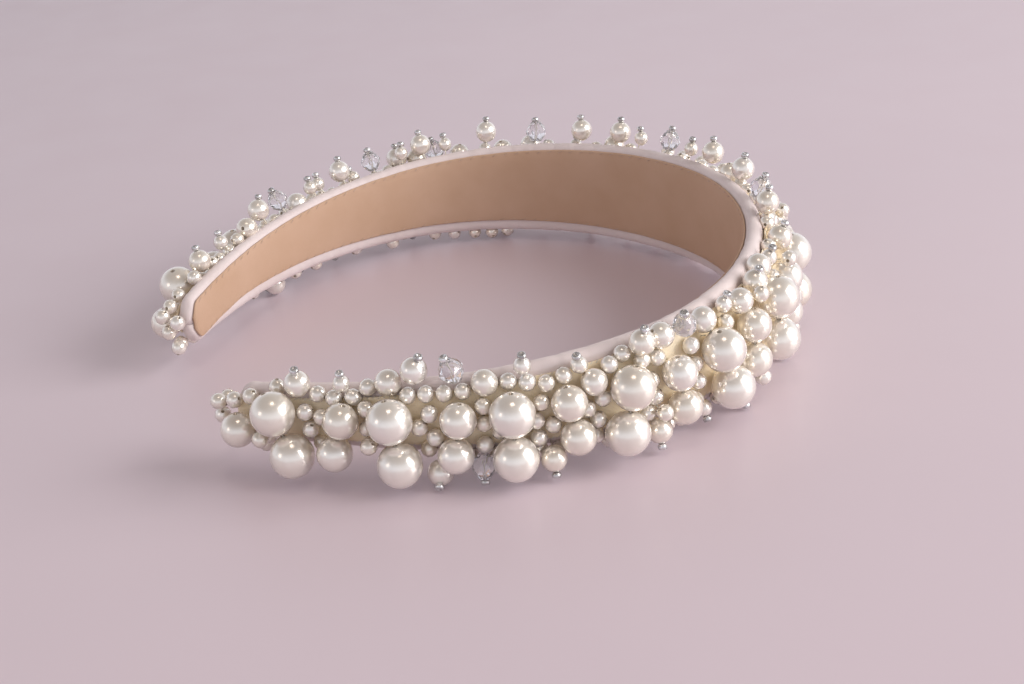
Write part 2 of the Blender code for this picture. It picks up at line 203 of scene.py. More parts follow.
def opening_outline():
    """The opening's outline from the right tip over the crown to the left tip."""
    arm_points = OUTLINE_POINTS // 3
    arm = []
    for index in range(arm_points):
        back = 1.0 - index / arm_points
        across = HALF_WIDTH * (1.0 - (1.0 - TIP_SHARE) * back ** ARM_POWER)
        arm.append(Vector((across, -ARM_DEPTH * back)))
    crown = []
    crown_points = OUTLINE_POINTS - 2 * arm_points
    for index in range(crown_points + 1):
        angle = math.pi * index / crown_points
        across = math.copysign(abs(math.cos(angle)) ** (2.0 / CROWN_POWER), math.cos(angle))
        forward = abs(math.sin(angle)) ** (2.0 / CROWN_POWER)
        crown.append(Vector((HALF_WIDTH * across, CROWN_DEPTH * forward)))
    left_arm = [Vector((-point.x, point.y)) for point in reversed(arm)]
    return Line(arm + crown + left_arm)


def crownness(line, distance):
    """0 at the tips and 1 at the middle of the crown."""
    return math.sin(math.pi * min(max(distance / line.length, 0.0), 1.0))


LINE = opening_outline()
BIG_LINE = LINE.outset(BIG_OUT)
PITCH = (BIG_LINE.length - 2.0 * FIRST_ROW) / (ROW_COUNT - 1)


def middle_of(node):
    low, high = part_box(node)
    return (low + high) / 2.0


# The pair of pearls at the middle of the crown says where the CAD's origin is
crown_point = LINE.at(LINE.length / 2.0)[0]
crown_height = ROW_HEIGHT + ROW_RISE + BIG + PEARL_GAP / 2.0
crown_pair = middle_of("pearl_8mm_pair_16")
SHIFT = crown_pair - Vector((0.0, crown_point.y + BIG_OUT + MEDIUM - BIG, crown_height))
SHIFT.x = 0.0


def edges(distance):
    """The middle height and the half width of the band at a distance from the right tip."""
    crown = crownness(LINE, distance)
    low = LOW_AT_TIP + (LOW_AT_CROWN - LOW_AT_TIP) * crown ** 2
    high = HIGH_AT_TIP + (HIGH_AT_CROWN - HIGH_AT_TIP) * crown
    from_tip = min(distance, LINE.length - distance, TIP_ROUNDING) / TIP_ROUNDING
    rounding = max(math.sqrt(max(1.0 - (1.0 - from_tip) ** 2, 0.0)), TIP_BLUNTNESS)
    return (low + high) / 2.0, (high - low) / 2.0 * rounding


def place(line, distance, out, height):
    """A point of the band in space."""
    point, outward = line.at(distance)
    point = point + outward * out
    return Vector((point.x, point.y, height)) + SHIFT


def facing(line, distance):
    """The outward direction in space."""
    outward = line.at(distance)[1]
    return Vector((outward.x, outward.y, 0.0))


def dome(share):
    return 2.0 * RIM + DOME_RISE * (1.0 - share ** 2)


def on_face(distance, across, stand):
    """A point over the band's outer face, up the face from its middle, and the way it faces."""
    middle, half = edges(distance)
    reach = half - RIM
    panel = PANEL_FACE * min(max((half - PANEL_MARGIN - abs(across)) / (0.8 * MM), 0.0), 1.0)
    if abs(across) <= reach:
        share = across / reach
        out, height = dome(share) + panel, middle + across
        tilt = math.atan2(2.0 * DOME_RISE * share, reach)
    else:
        tilt = math.copysign((abs(across) - reach) / RIM, across)
        out = RIM + RIM * math.cos(tilt)
        height = middle + math.copysign(reach, across) + RIM * math.sin(tilt)
    outward = facing(LINE, distance)
    way = outward * math.cos(tilt) + Vector((0.0, 0.0, math.sin(tilt)))
    return place(LINE, distance, out, height) + way * stand, way


def row_distance(row):
    """Distance along the opening's line of a place counted in even rows from the right tip."""
    wanted = FIRST_ROW + (row - 1.0) * PITCH
    index = bisect.bisect_right(BIG_LINE.reach, wanted) - 1
    index = min(max(index, 0), len(LINE.reach) - 2)
    span = BIG_LINE.reach[index + 1] - BIG_LINE.reach[index]
    share = (wanted - BIG_LINE.reach[index]) / span
    return LINE.reach[index] + (LINE.reach[index + 1] - LINE.reach[index]) * share


# ---------------------------------------------------------------- node trees

def node(tree, kind, inputs=None, **settings):
    """A node with its settings and its unlinked inputs."""
    made = tree.nodes.new(kind)
    for name, value in settings.items():
        setattr(made, name, value)
    for name, value in (inputs or {}).items():
        made.inputs[name].default_value = value
    return made


def wire(tree, *pairs):
    for source, target in pairs:
        tree.links.new(source, target)


def math_node(tree, operation, first, second=None):
    """A Math node on sockets or numbers; gives its output."""
    made = tree.nodes.new("ShaderNodeMath")
    made.operation = operation
    for slot, value in zip(made.inputs, (first, second)):
        if isinstance(value, bpy.types.NodeSocket):
            tree.links.new(value, slot)
        elif value is not None:
            slot.default_value = value
    return made.outputs[0]


def sockets(tree, inputs, outputs):
    """Named sockets on a group: name, socket type and default."""
    for name, kind, default in inputs:
        made = tree.interface.new_socket(name, in_out="INPUT", socket_type=kind)
        if default is not None:
            made.default_value = default
    for name, kind in outputs:
        tree.interface.new_socket(name, in_out="OUTPUT", socket_type=kind)
    return tree.nodes.new("NodeGroupInput"), tree.nodes.new("NodeGroupOutput")


def weave_group():
    """Plain weave from a map in metres: how high the threads stand, and warp from weft."""
    tree = bpy.data.node_groups.new("weave", "ShaderNodeTree")
    inputs = [("Map", "NodeSocketVector", None), ("Threads", "NodeSocketFloat", 2500.0)]
    outputs = [("Height", "NodeSocketFloat"), ("Warp", "NodeSocketFloat")]
    start, end = sockets(tree, inputs, outputs)
    scaled = node(tree, "ShaderNodeVectorMath", operation="SCALE")
    apart = node(tree, "ShaderNodeSeparateXYZ")
    wire(tree, (start.outputs["Map"], scaled.inputs[0]), (start.outputs["Threads"], scaled.inputs["Scale"]))
    wire(tree, (scaled.outputs[0], apart.inputs[0]))
    crests = []
    floors = []
    for axis in ("X", "Y"):
        crests.append(math_node(tree, "SINE", math_node(tree, "MULTIPLY", apart.outputs[axis], math.pi)))
        floors.append(math_node(tree, "FLOOR", apart.outputs[axis]))
    over = math_node(tree, "MODULO", math_node(tree, "ADD", *floors), 2.0)
    over = math_node(tree, "ABSOLUTE", over)
    across = math_node(tree, "ABSOLUTE", crests[0])
    along = math_node(tree, "ABSOLUTE", crests[1])
    mix = node(tree, "ShaderNodeMix", data_type="FLOAT")
    wire(tree, (over, mix.inputs["Factor"]), (across, mix.inputs[2]), (along, mix.inputs[3]))
    wire(tree, (mix.outputs[0], end.inputs["Height"]), (over, end.inputs["Warp"]))
    return tree


def mottle_group():
    """Slow and fast unevenness through a solid, each from 0 to 1."""
    tree = bpy.data.node_groups.new("mottle", "ShaderNodeTree")
    inputs = [("Scale", "NodeSocketFloat", 60.0)]
    outputs = [("Slow", "NodeSocketFloat"), ("Fine", "NodeSocketFloat")]
    start, end = sockets(tree, inputs, outputs)
    spot = node(tree, "ShaderNodeTexCoord")
    for name, times, detail in (("Slow", 1.0, 3.0), ("Fine", 14.0, 4.0)):
        cloud = node(tree, "ShaderNodeTexNoise", {"Detail": detail, "Roughness": 0.55})
        stretch = node(tree, "ShaderNodeMapRange", {"From Min": 0.32, "From Max": 0.68})
        scale = math_node(tree, "MULTIPLY", start.outputs["Scale"], times)
        wire(tree, (spot.outputs["Object"], cloud.inputs["Vector"]), (scale, cloud.inputs["Scale"]))
        wire(tree, (cloud.outputs[0], stretch.inputs["Value"]), (stretch.outputs[0], end.inputs[name]))
    return tree


WEAVE = weave_group()
MOTTLE = mottle_group()


def new_material(name, **values):
    """A Principled material with its constant values on the shader's own sockets."""
    material = bpy.data.materials.new(name)
    material.use_nodes = True
    shader = material.node_tree.nodes["Principled BSDF"]
    for socket, value in values.items():
        shader.inputs[socket.replace("_", " ")].default_value = value
    return material, material.node_tree, shader


def group_node(tree, group, **inputs):
    made = tree.nodes.new("ShaderNodeGroup")
    made.node_tree = group
    for name, value in inputs.items():
        made.inputs[name].default_value = value
    return made


def two_tone(tree, factor, first, second):
    """A colour between two, by a factor."""
    mix = node(tree, "ShaderNodeMix", data_type="RGBA")
    mix.inputs[6].default_value = (*first, 1.0)
    mix.inputs[7].default_value = (*second, 1.0)
    tree.links.new(factor, mix.inputs["Factor"])
    return mix.outputs[2]


def ranged(tree, value, low, high):
    """A value from 0 to 1 stretched between two numbers."""
    made = node(tree, "ShaderNodeMapRange", {"To Min": low, "To Max": high})
    tree.links.new(value, made.inputs["Value"])
    return made.outputs[0]


def bump(tree, shader, height, strength, distance, before=None):
    made = node(tree, "ShaderNodeBump", {"Strength": strength, "Distance": distance})
    wire(tree, (height, made.inputs["Height"]))
    if before is not None:
        wire(tree, (before, made.inputs["Normal"]))
    wire(tree, (made.outputs[0], shader.inputs["Normal"]))
    return made.outputs[0]


def cloth_material(name, dark, light, threads, depth, roughness, sheen):
    """Woven cloth: uneven dye, a painted highlight on the thread crests and painted shade between them, and a
    soft sheen.
    """
    material, tree, shader = new_material(
        name, Sheen_Weight=sheen, Sheen_Roughness=0.4, Specular_IOR_Level=0.3,
    )
    shader.inputs["Sheen Tint"].default_value = (*light, 1.0)
    uv = node(tree, "ShaderNodeUVMap", uv_map="cloth")
    weave = group_node(tree, WEAVE, Threads=threads)
    mottle = group_node(tree, MOTTLE, Scale=70.0)
    wire(tree, (uv.outputs[0], weave.inputs["Map"]))
    # Half of the colour mix follows the weave's height: painted highlight on the crests and painted shade
    # between the threads. The other half is uneven dye.
    tone = math_node(tree, "MULTIPLY", weave.outputs["Height"], 0.5)
    tone = math_node(tree, "ADD", tone, math_node(tree, "MULTIPLY", mottle.outputs["Slow"], 0.5))
    wire(tree, (two_tone(tree, tone, dark, light), shader.inputs["Base Color"]))
    rough = ranged(tree, weave.outputs["Warp"], roughness - 0.06, roughness + 0.06)
    wire(tree, (rough, shader.inputs["Roughness"]))
    uneven = bump(tree, shader, mottle.outputs["Fine"], 0.25, 0.00005)
    bump(tree, shader, weave.outputs["Height"], 0.6, depth, uneven)
    return material


def pearl_material():
    """Ivory nacre: a pearly body under a hard clear skin, no two pearls quite alike."""
    material, tree, shader = new_material(
        "ivory_pearl", Metallic=0.58, Coat_Weight=0.8, Coat_Roughness=0.07, Coat_IOR=1.5, IOR=1.6,
    )
    tint = node(tree, "ShaderNodeAttribute", attribute_name="tint")
    hole = node(tree, "ShaderNodeAttribute", attribute_name="drilled")
    mottle = group_node(tree, MOTTLE, Scale=180.0)
    tone = math_node(tree, "MULTIPLY", tint.outputs["Fac"], 0.7)
    tone = math_node(tree, "ADD", tone, math_node(tree, "MULTIPLY", mottle.outputs["Slow"], 0.3))
    body = two_tone(tree, tone, (0.90, 0.83, 0.725), (0.95, 0.91, 0.855))
    # Painted shade in the drill holes: the marked ends of each pearl are turned dark brown.
    skin = node(tree, "ShaderNodeMix", data_type="RGBA")
    skin.inputs[7].default_value = (0.30, 0.23, 0.15, 1.0)
    wire(tree, (hole.outputs["Fac"], skin.inputs["Factor"]), (body, skin.inputs[6]))
    wire(tree, (skin.outputs[2], shader.inputs["Base Color"]))
    wire(tree, (ranged(tree, mottle.outputs["Slow"], 0.19, 0.26), shader.inputs["Roughness"]))
    return material


def crystal_material():
    """Cut glass with a faint coloured coating."""
    material, tree, shader = new_material("clear_crystal", Transmission_Weight=0.86, IOR=1.57, Metallic=0.0)
    shader.inputs["Coat Weight"].default_value = 0.6
    mottle = group_node(tree, MOTTLE, Scale=260.0)
    colour = two_tone(tree, mottle.outputs["Slow"], (0.97, 0.95, 1.0), (0.99, 0.99, 1.0))
    wire(tree, (colour, shader.inputs["Base Color"]))
    wire(tree, (ranged(tree, mottle.outputs["Fine"], 0.0, 0.03), shader.inputs["Roughness"]))
    return material


def seed_material():
    """Silver-lined glass seed beads."""
    material, tree, shader = new_material("silver_seed", Metallic=0.75, Coat_Weight=1.0, Coat_Roughness=0.03)
    mottle = group_node(tree, MOTTLE, Scale=500.0)
    colour = two_tone(tree, mottle.outputs["Slow"], (0.34, 0.33, 0.32), (0.90, 0.90, 0.91))
    wire(tree, (colour, shader.inputs["Base Color"]))
    wire(tree, (ranged(tree, mottle.outputs["Fine"], 0.12, 0.3), shader.inputs["Roughness"]))
    return material


def thread_material(name, dark, light):
    """Twisted sewing thread."""
    material, tree, shader = new_material(name, Roughness=0.6, Sheen_Weight=0.3)
    mottle = group_node(tree, MOTTLE, Scale=900.0)
    wire(tree, (two_tone(tree, mottle.outputs["Slow"], dark, light), shader.inputs["Base Color"]))
    wire(tree, (ranged(tree, mottle.outputs["Fine"], 0.5, 0.75), shader.inputs["Roughness"]))
    bump(tree, shader, mottle.outputs["Fine"], 0.5, 0.00004)
    return material


def moulded_material(name, dark, light, low, high, scale, depth):
    """A moulded plastic or foam with its own grain."""
    material, tree, shader = new_material(name)
    mottle = group_node(tree, MOTTLE, Scale=scale)
    wire(tree, (two_tone(tree, mottle.outputs["Slow"], dark, light), shader.inputs["Base Color"]))
    wire(tree, (ranged(tree, mottle.outputs["Fine"], low, high), shader.inputs["Roughness"]))
    bump(tree, shader, mottle.outputs["Fine"], 0.5, depth)
    return material


def floor_material():
    """Smooth painted board."""
    material, tree, shader = new_material("painted_board", Specular_IOR_Level=0.5)
    mottle = group_node(tree, MOTTLE, Scale=3.0)
    colour = two_tone(tree, mottle.outputs["Slow"], (0.69, 0.58, 0.635), (0.73, 0.615, 0.67))
    wire(tree, (colour, shader.inputs["Base Color"]))
    wire(tree, (ranged(tree, mottle.outputs["Fine"], 0.36, 0.42), shader.inputs["Roughness"]))
    return material


# ---------------------------------------------------------------- cloth pieces

def new_piece(name, mesh, material=None):
    thing = bpy.data.objects.new(name, mesh)
    bpy.context.scene.collection.objects.link(thing)
    if material is not None:
        mesh.materials.clear()
        mesh.materials.append(material)
    return thing


def wrap(name, rings, maps, material):
    """A closed tube through rings of points, with a cloth map in metres; its ends are capped."""
    shape = bmesh.new()
    layer = shape.loops.layers.uv.new("cloth")
    verts = [[shape.verts.new(point) for point in ring] for ring in rings]
    count = len(rings[0])
    for station in range(len(rings) - 1):
        for step in range(count):
            after = (step + 1) % count
            corners = (
                (station, step), (station + 1, step), (station + 1, after), (station, after),
            )
            face = shape.faces.new([verts[at][place_] for at, place_ in corners])
            for loop, (at, place_) in zip(face.loops, corners):
                along, around = maps[at][place_]
                if after == 0 and place_ == 0:
                    around = maps[at][-1][1]
                loop[layer].uv = (along, around)
    shape.faces.new(verts[0])
    shape.faces.new(list(reversed(verts[-1])))
    bmesh.ops.recalc_face_normals(shape, faces=shape.faces)
    mesh = bpy.data.meshes.new(name)
    shape.to_mesh(mesh)
    shape.free()
    mesh.shade_smooth()
    return new_piece(name, mesh, material)


def section_map(section, distance):
    """Cloth map of a cross-section: along the band, and the length round it."""
    around = [0.0]
    for here, following in zip(section, section[1:]):
        step = math.hypot(following[0] - here[0], following[1] - here[1])
        around.append(around[-1] + step)
    return [(distance, value) for value in around]


def spaced(start, end, count):
    return [start + (end - start) * index / (count - 1) for index in range(count)]


def tip_share(distance):
    """How far a section is shrunk towards its middle where the cover closes round a tip."""
    from_tip = min(distance, LINE.length - distance)
    inward = min(from_tip / TIP_CLOSE, 1.0)
    return max(math.sqrt(1.0 - (1.0 - inward) ** 2), 0.02)


COVER_RIM_STEPS = 12
COVER_DOME_STEPS = 16
TACK_PITCH = 6.1 * MM


def pucker(distance, across, rim_share):
    """How far the satin stands off its even shape: small drawn folds over the rims."""
    fold = noise.noise(Vector((distance / (2.1 * MM), across / (9.0 * MM), 0.3)))
    slack = noise.noise(Vector((distance / (17.0 * MM), across / (8.0 * MM), 4.7)))
    tack = math.cos(2.0 * math.pi * distance / TACK_PITCH)
    drawn = 0.07 * MM * max(tack, 0.0) ** 4
    return rim_share * (0.10 * MM * fold - drawn) + 0.10 * MM * slack


def cover_outline(distance):
    """The satin's cross-section, from its lower turned-in edge round the outside to the upper one."""
    middle, half = edges(distance)
    reach = half - RIM
    turn_in = min(COVER_TURN_IN, reach * 0.6)
    near_tip = 1.0 - min(min(distance, LINE.length - distance) / (5.0 * MM), 1.0)
    turn_in += (reach * 0.97 - turn_in) * min(2.0 * near_tip, 1.0)
    section = [(0.0, middle - reach + turn_in, math.pi, 0.0)]
    for angle in spaced(math.pi, 1.5 * math.pi, COVER_RIM_STEPS):
        section.append((RIM + RIM * math.cos(angle), middle - reach + RIM * math.sin(angle), angle, 1.0))
    for angle in spaced(-0.5 * math.pi, -0.06 * math.pi, COVER_RIM_STEPS)[1:]:
        section.append((RIM + RIM * math.cos(angle), middle - reach + RIM * math.sin(angle), angle, 1.0))
    for share in spaced(-1.0, 1.0, COVER_DOME_STEPS):
        tilt = math.atan2(2.0 * DOME_RISE * share, reach)
        section.append((dome(share), middle + reach * share, tilt, abs(share) ** 6))
    for angle in spaced(0.06 * math.pi, 0.5 * math.pi, COVER_RIM_STEPS)[:-1]:
        section.append((RIM + RIM * math.cos(angle), middle + reach + RIM * math.sin(angle), angle, 1.0))
    for angle in spaced(0.5 * math.pi, math.pi, COVER_RIM_STEPS):
        section.append((RIM + RIM * math.cos(angle), middle + reach + RIM * math.sin(angle), angle, 1.0))
    section.append((0.0, middle + reach - turn_in, math.pi, 0.0))
    return section


def make_cover(material):
    """The padded satin cover, with its edges turned in under the lining."""
    stations = 940
    rings = []
    maps = []
    for distance in spaced(0.0, LINE.length, stations):
        middle = edges(distance)[0]
        shrink = tip_share(distance)
        outer = []
        inner = []
        for out, height, angle, rim_share in cover_outline(distance):
            lift = pucker(distance, height - middle, rim_share)
            out += lift * math.cos(angle)
            height += lift * math.sin(angle)
            outer.append((out, height))
            inward = (COVER_THICKNESS * math.cos(angle), COVER_THICKNESS * math.sin(angle))
            inner.append((out - inward[0], height - inward[1]))
        section = outer + list(reversed(inner[::6] + inner[-1:]))
        section = [
            (RIM + (out - RIM) * shrink, middle + (height - middle) * shrink) for out, height in section
        ]
        rings.append([place(LINE, distance, out, height) for out, height in section])
        maps.append(section_map(section, distance))
    return wrap("satin_cover_cloth", rings, maps, material)


def flat_section(face, back, middle, reach, edge, steps):
    """A strip's cross-section, out and height, with softly rounded edges."""
    centre = (face + back) / 2.0
    depth = abs(face - back) / 2.0
    way = 1.0 if face > back else -1.0
    section = []
    for height in spaced(-reach + edge, reach - edge, steps):
        section.append((face, middle + height))
    for angle in spaced(80.0, -80.0, 5):
        turn = math.radians(angle)
        section.append((centre + way * depth * math.sin(turn), middle + reach - edge + edge * math.cos(turn)))
    for height in spaced(reach - edge, -reach + edge, 5):
        section.append((back, middle + height))
    for angle in spaced(-80.0, 80.0, 5):
        turn = math.radians(angle)
        section.append((centre + way * depth * math.sin(turn), middle - reach + edge - edge * math.cos(turn)))
    return section


LINING_START = 0.9 * MM
LINING_STEP = 0.7 * MM


def lining_edges(distance):
    """The heights of the lining's lower and upper edges."""
    middle, half = edges(distance)
    from_end = min(distance, LINE.length - distance) - LINING_START
    rounding = 1.0 - math.sqrt(1.0 - (1.0 - min(from_end / (2.0 * MM), 1.0)) ** 2)
    widening = min(from_end / (26.0 * MM), 1.0)
    low_margin = 1.4 * MM + (LINING_LOW_MARGIN - 1.4 * MM) * widening
    drawn = 0.08 * MM * noise.noise(Vector((distance / (5.0 * MM), 2.0, 3.0)))
    low = middle - half + low_margin + rounding * 1.6 * MM + drawn
    high = middle + half - LINING_HIGH_MARGIN - rounding * 1.6 * MM + drawn
    return low, high


def rim_fall(distance, height):
    """How far the cover's inner side has turned away outward, at the rims and at the tips."""
    middle, half = edges(distance)
    past = min(max(abs(height - middle) - (half - RIM), 0.0), RIM)
    return RIM - math.sqrt(RIM ** 2 - past ** 2) + RIM * (1.0 - tip_share(distance))


def make_lining(material):
    """The soft lining ribbon, which hides the cover's turned-in edges."""
    rings = []
    maps = []
    count = int((LINE.length - 2.0 * LINING_START) / LINING_STEP)
    for distance in spaced(LINING_START, LINE.length - LINING_START, count):
        low, high = lining_edges(distance)
        section = flat_section(-LINING_FACE, LINING_THICKNESS - LINING_FACE, (low + high) / 2.0,
                               (high - low) / 2.0, 0.25 * MM, 9)
        ring = []
        for out, height in section:
            slack = noise.noise(Vector((distance / (16.0 * MM), height / (9.0 * MM), 8.0)))
            pull = min(min(height - low, high - height) / (1.6 * MM), 1.0)
            out += 0.10 * MM * slack * pull + 0.18 * MM * (1.0 - pull) + rim_fall(distance, height)
            ring.append(place(LINE, distance, out, height))
        rings.append(ring)
        maps.append(section_map(section, distance))
    return wrap("lining_ribbon", rings, maps, material)


PANEL_START = 1.6 * MM
PANEL_STEPS = 15


def panel_reach(distance):
    """Half the panel's width; its edge is drawn in a little at each binding stitch."""
    half = edges(distance)[1]
    return half - PANEL_MARGIN + 0.10 * MM * noise.noise(Vector((distance / (2.4 * MM), 5.0, 1.0)))


def panel_point(distance, share, stand):
    """A point on the panel, by its place across it from -1 to 1."""
    middle, half = edges(distance)
    across = share * panel_reach(distance)
    lift = dome(across / (half - RIM)) + PANEL_FACE - PANEL_THICKNESS + stand
    return place(LINE, distance, lift, middle + across)


def make_panel(material):
    """The panel that the beads are sewn on."""
    rings = []
    maps = []
    for distance in spaced(PANEL_START, LINE.length - PANEL_START, 900):
        ring = []
        section = []
        for share in spaced(-1.0, 1.0, PANEL_STEPS):
            worn = 0.05 * MM * noise.noise(Vector((distance / (3.0 * MM), share * 3.0, 6.0)))
            ring.append(panel_point(distance, share, PANEL_THICKNESS + worn * (1.0 - share ** 2)))
            section.append((0.0, share * panel_reach(distance)))
        for share in (1.02, 1.02, 0.98):
            ring.append(panel_point(distance, share, PANEL_THICKNESS * 0.5 if share > 1.0 else 0.0))
            section.append((PANEL_THICKNESS, share * panel_reach(distance)))
        del ring[-2], section[-2]
        for share in (0.4, -0.4, -0.98, -1.02):
            ring.append(panel_point(distance, share, PANEL_THICKNESS * 0.5 if share < -1.0 else 0.0))
            section.append((PANEL_THICKNESS, share * panel_reach(distance)))
        rings.append(ring)
        maps.append(section_map(section, distance))
    return wrap("sewn_panel", rings, maps, material)


# ---------------------------------------------------------------- small shapes, about their middles

def turned(name, profile, segments):
    """A round shape from a half outline, top to bottom, with flat ends; marks its drilled ends, where the
    pearls' material paints shade into the holes.
    """
    shape = bmesh.new()
    drilled = shape.verts.layers.float.new("drilled")
    rings = []
    for across, height, mark in profile:
        ring = []
        for step in range(segments):
            angle = 2.0 * math.pi * step / segments
            vert = shape.verts.new((across * math.cos(angle), across * math.sin(angle), height))
            vert[drilled] = mark
            ring.append(vert)
        rings.append(ring)
    for upper, lower in zip(rings, rings[1:]):
        for step in range(segments):
            after = (step + 1) % segments
            shape.faces.new((upper[step], lower[step], lower[after], upper[after]))
    shape.faces.new(rings[0])
    shape.faces.new(list(reversed(rings[-1])))
    bmesh.ops.recalc_face_normals(shape, faces=shape.faces)
    mesh = bpy.data.meshes.new(name)
    shape.to_mesh(mesh)
    shape.free()
    mesh.shade_smooth()
    return mesh


def bead_profile(hole, rings):
    """A drilled ball of radius 1: in at the hole, over the ball and in at the other hole."""
    first = math.asin(hole)
    # The third figure marks the holes for their painted shade: 1 down in a hole, 0.6 at its lip.
    profile = [(hole * 0.8, math.cos(first) - 0.22, 1.0), (hole, math.cos(first), 0.6)]
    for angle in spaced(first * 1.35, math.pi - first * 1.35, rings):
        profile.append((math.sin(angle), math.cos(angle), 0.0))
    profile += [(across, -height, mark) for across, height, mark in reversed(profile[:2])]
    return profile


def seed_profile():
    """A rounded glass ring of radius 1."""
    outline = []
    for degrees in (150.0, 105.0, 60.0, 15.0, -30.0 + 15.0, -60.0, -105.0, -150.0):
        angle = math.radians(degrees)
        outline.append((0.66 + 0.34 * math.cos(angle), 0.62 * math.sin(angle), 0.0))
    return outline


def crystal_mesh():
    """A cut crystal: two crowns of kite and corner facets on a faceted girdle."""
    shape = bmesh.new()
    sides = 8
    levels = (
        (1.3 * MM, 2.7 * MM, 0.0), (2.35 * MM, 1.45 * MM, 0.5), (2.8 * MM, 0.35 * MM, 0.0),
        (2.8 * MM, -0.35 * MM, 0.0), (2.35 * MM, -1.45 * MM, 0.5), (1.3 * MM, -2.7 * MM, 0.0),
    )
    points = []
    for across, height, turn in levels:
        for step in range(sides):
            angle = 2.0 * math.pi * (step + turn) / sides
            points.append(shape.verts.new((across * math.cos(angle), across * math.sin(angle), height)))
    bmesh.ops.convex_hull(shape, input=points)
    bmesh.ops.dissolve_limit(shape, angle_limit=0.02, verts=shape.verts, edges=shape.edges)
    bmesh.ops.recalc_face_normals(shape, faces=shape.faces)
    mesh = bpy.data.meshes.new("crystal")
    shape.to_mesh(mesh)
    shape.free()
    return mesh


def rod_mesh():
    """A thread of radius 1 and length 1, from 0 up."""
    return turned("thread", [(1.0, 1.0, 0.0), (1.0, 0.5, 0.0), (1.0, 0.0, 0.0)], 6)


def stitch_mesh(length, rise, radius):
    """A stitch that comes up out of the cloth, lies on it and goes down again, along X."""
    shape = bmesh.new()
    rings = []
    for turn in spaced(-0.5, 0.5, 7):
        centre = Vector((length * turn, 0.0, rise * (math.cos(math.pi * turn) - 0.35)))
        slope = Vector((length, 0.0, -rise * math.pi * math.sin(math.pi * turn))).normalized()
        upward = Vector((-slope.z, 0.0, slope.x))
        ring = []
        for step in range(5):
            angle = 2.0 * math.pi * step / 5
            offset = upward * math.cos(angle) + Vector((0.0, 1.0, 0.0)) * math.sin(angle)
            ring.append(shape.verts.new(centre + offset * radius))
        rings.append(ring)
    for here, following in zip(rings, rings[1:]):
        for step in range(5):
            after = (step + 1) % 5
            shape.faces.new((here[step], here[after], following[after], following[step]))
    shape.faces.new(rings[0])
    shape.faces.new(list(reversed(rings[-1])))
    bmesh.ops.recalc_face_normals(shape, faces=shape.faces)
    mesh = bpy.data.meshes.new("stitch")
    shape.to_mesh(mesh)
    shape.free()
    mesh.shade_smooth()
    return mesh


# ---------------------------------------------------------------- what repeats

def geometry_tree(name, inputs):
    tree = bpy.data.node_groups.new(name, "GeometryNodeTree")
    tree.is_modifier = True
    start, end = sockets(
        tree,
        [("Geometry", "NodeSocketGeometry", None), *inputs],
        [("Geometry", "NodeSocketGeometry")],
    )
    return tree, start, end


def finish_tree(tree, start, end, instances):
    """Gives each copy its own tint, and ends the tree in one mesh with its material."""
    tint = node(tree, "FunctionNodeRandomValue", data_type="FLOAT")
    keep = node(
        tree, "GeometryNodeStoreNamedAttribute", {"Name": "tint"}, data_type="FLOAT", domain="INSTANCE",
    )
    real = node(tree, "GeometryNodeRealizeInstances")
    paint = node(tree, "GeometryNodeSetMaterial")
    wire(
        tree,
        (start.outputs["Seed"], tint.inputs["Seed"]),
        (tint.outputs[1], keep.inputs["Value"]),
        (instances, keep.inputs["Geometry"]),
        (keep.outputs[0], real.inputs[0]),
        (real.outputs[0], paint.inputs["Geometry"]),
        (start.outputs["Material"], paint.inputs["Material"]),
        (paint.outputs[0], end.inputs[0]),
    )


def stringing_tree():
    """A copy of a shape on every point, turned to the point's thread and sized by it."""
    inputs = [
        ("Shape", "NodeSocketObject", None),
        ("Size Spread", "NodeSocketFloat", 0.02),
        ("Seed", "NodeSocketInt", 1),
        ("Material", "NodeSocketMaterial", None),
    ]
    tree, start, end = geometry_tree("stringing", inputs)
    shape = node(tree, "GeometryNodeObjectInfo")
    thread = node(tree, "GeometryNodeInputNamedAttribute", {"Name": "thread"}, data_type="FLOAT_VECTOR")
    size = node(tree, "GeometryNodeInputNamedAttribute", {"Name": "size"}, data_type="FLOAT_VECTOR")
    align = node(tree, "FunctionNodeAlignRotationToVector", axis="Z")
    spin = node(tree, "FunctionNodeRandomValue", data_type="FLOAT")
    spin.inputs[3].default_value = 2.0 * math.pi
    upright = node(tree, "ShaderNodeCombineXYZ")
    turn = node(tree, "FunctionNodeEulerToRotation")
    rotate = node(tree, "FunctionNodeRotateRotation", rotation_space="LOCAL")
    spread = node(tree, "FunctionNodeRandomValue", data_type="FLOAT")
    least = node(tree, "ShaderNodeMath", {0: 1.0}, operation="SUBTRACT")
    scale = node(tree, "ShaderNodeVectorMath", operation="SCALE")
    copies = node(tree, "GeometryNodeInstanceOnPoints")
    spread.inputs[3].default_value = 1.0
    wire(
        tree,
        (start.outputs["Shape"], shape.inputs["Object"]),
        (start.outputs["Seed"], spin.inputs["Seed"]),
        (start.outputs["Seed"], spread.inputs["Seed"]),
        (start.outputs["Size Spread"], least.inputs[1]),
        (least.outputs[0], spread.inputs[2]),
        (thread.outputs[0], align.inputs["Vector"]),
        (spin.outputs[1], upright.inputs["Z"]),
        (upright.outputs[0], turn.inputs[0]),
        (align.outputs[0], rotate.inputs["Rotation"]),
        (turn.outputs[0], rotate.inputs["Rotate By"]),
        (size.outputs[0], scale.inputs[0]),
        (spread.outputs[1], scale.inputs["Scale"]),
        (start.outputs["Geometry"], copies.inputs["Points"]),
        (shape.outputs["Geometry"], copies.inputs["Instance"]),
        (rotate.outputs[0], copies.inputs["Rotation"]),
        (scale.outputs[0], copies.inputs["Scale"]),
    )
    finish_tree(tree, start, end, copies.outputs[0])
    return tree


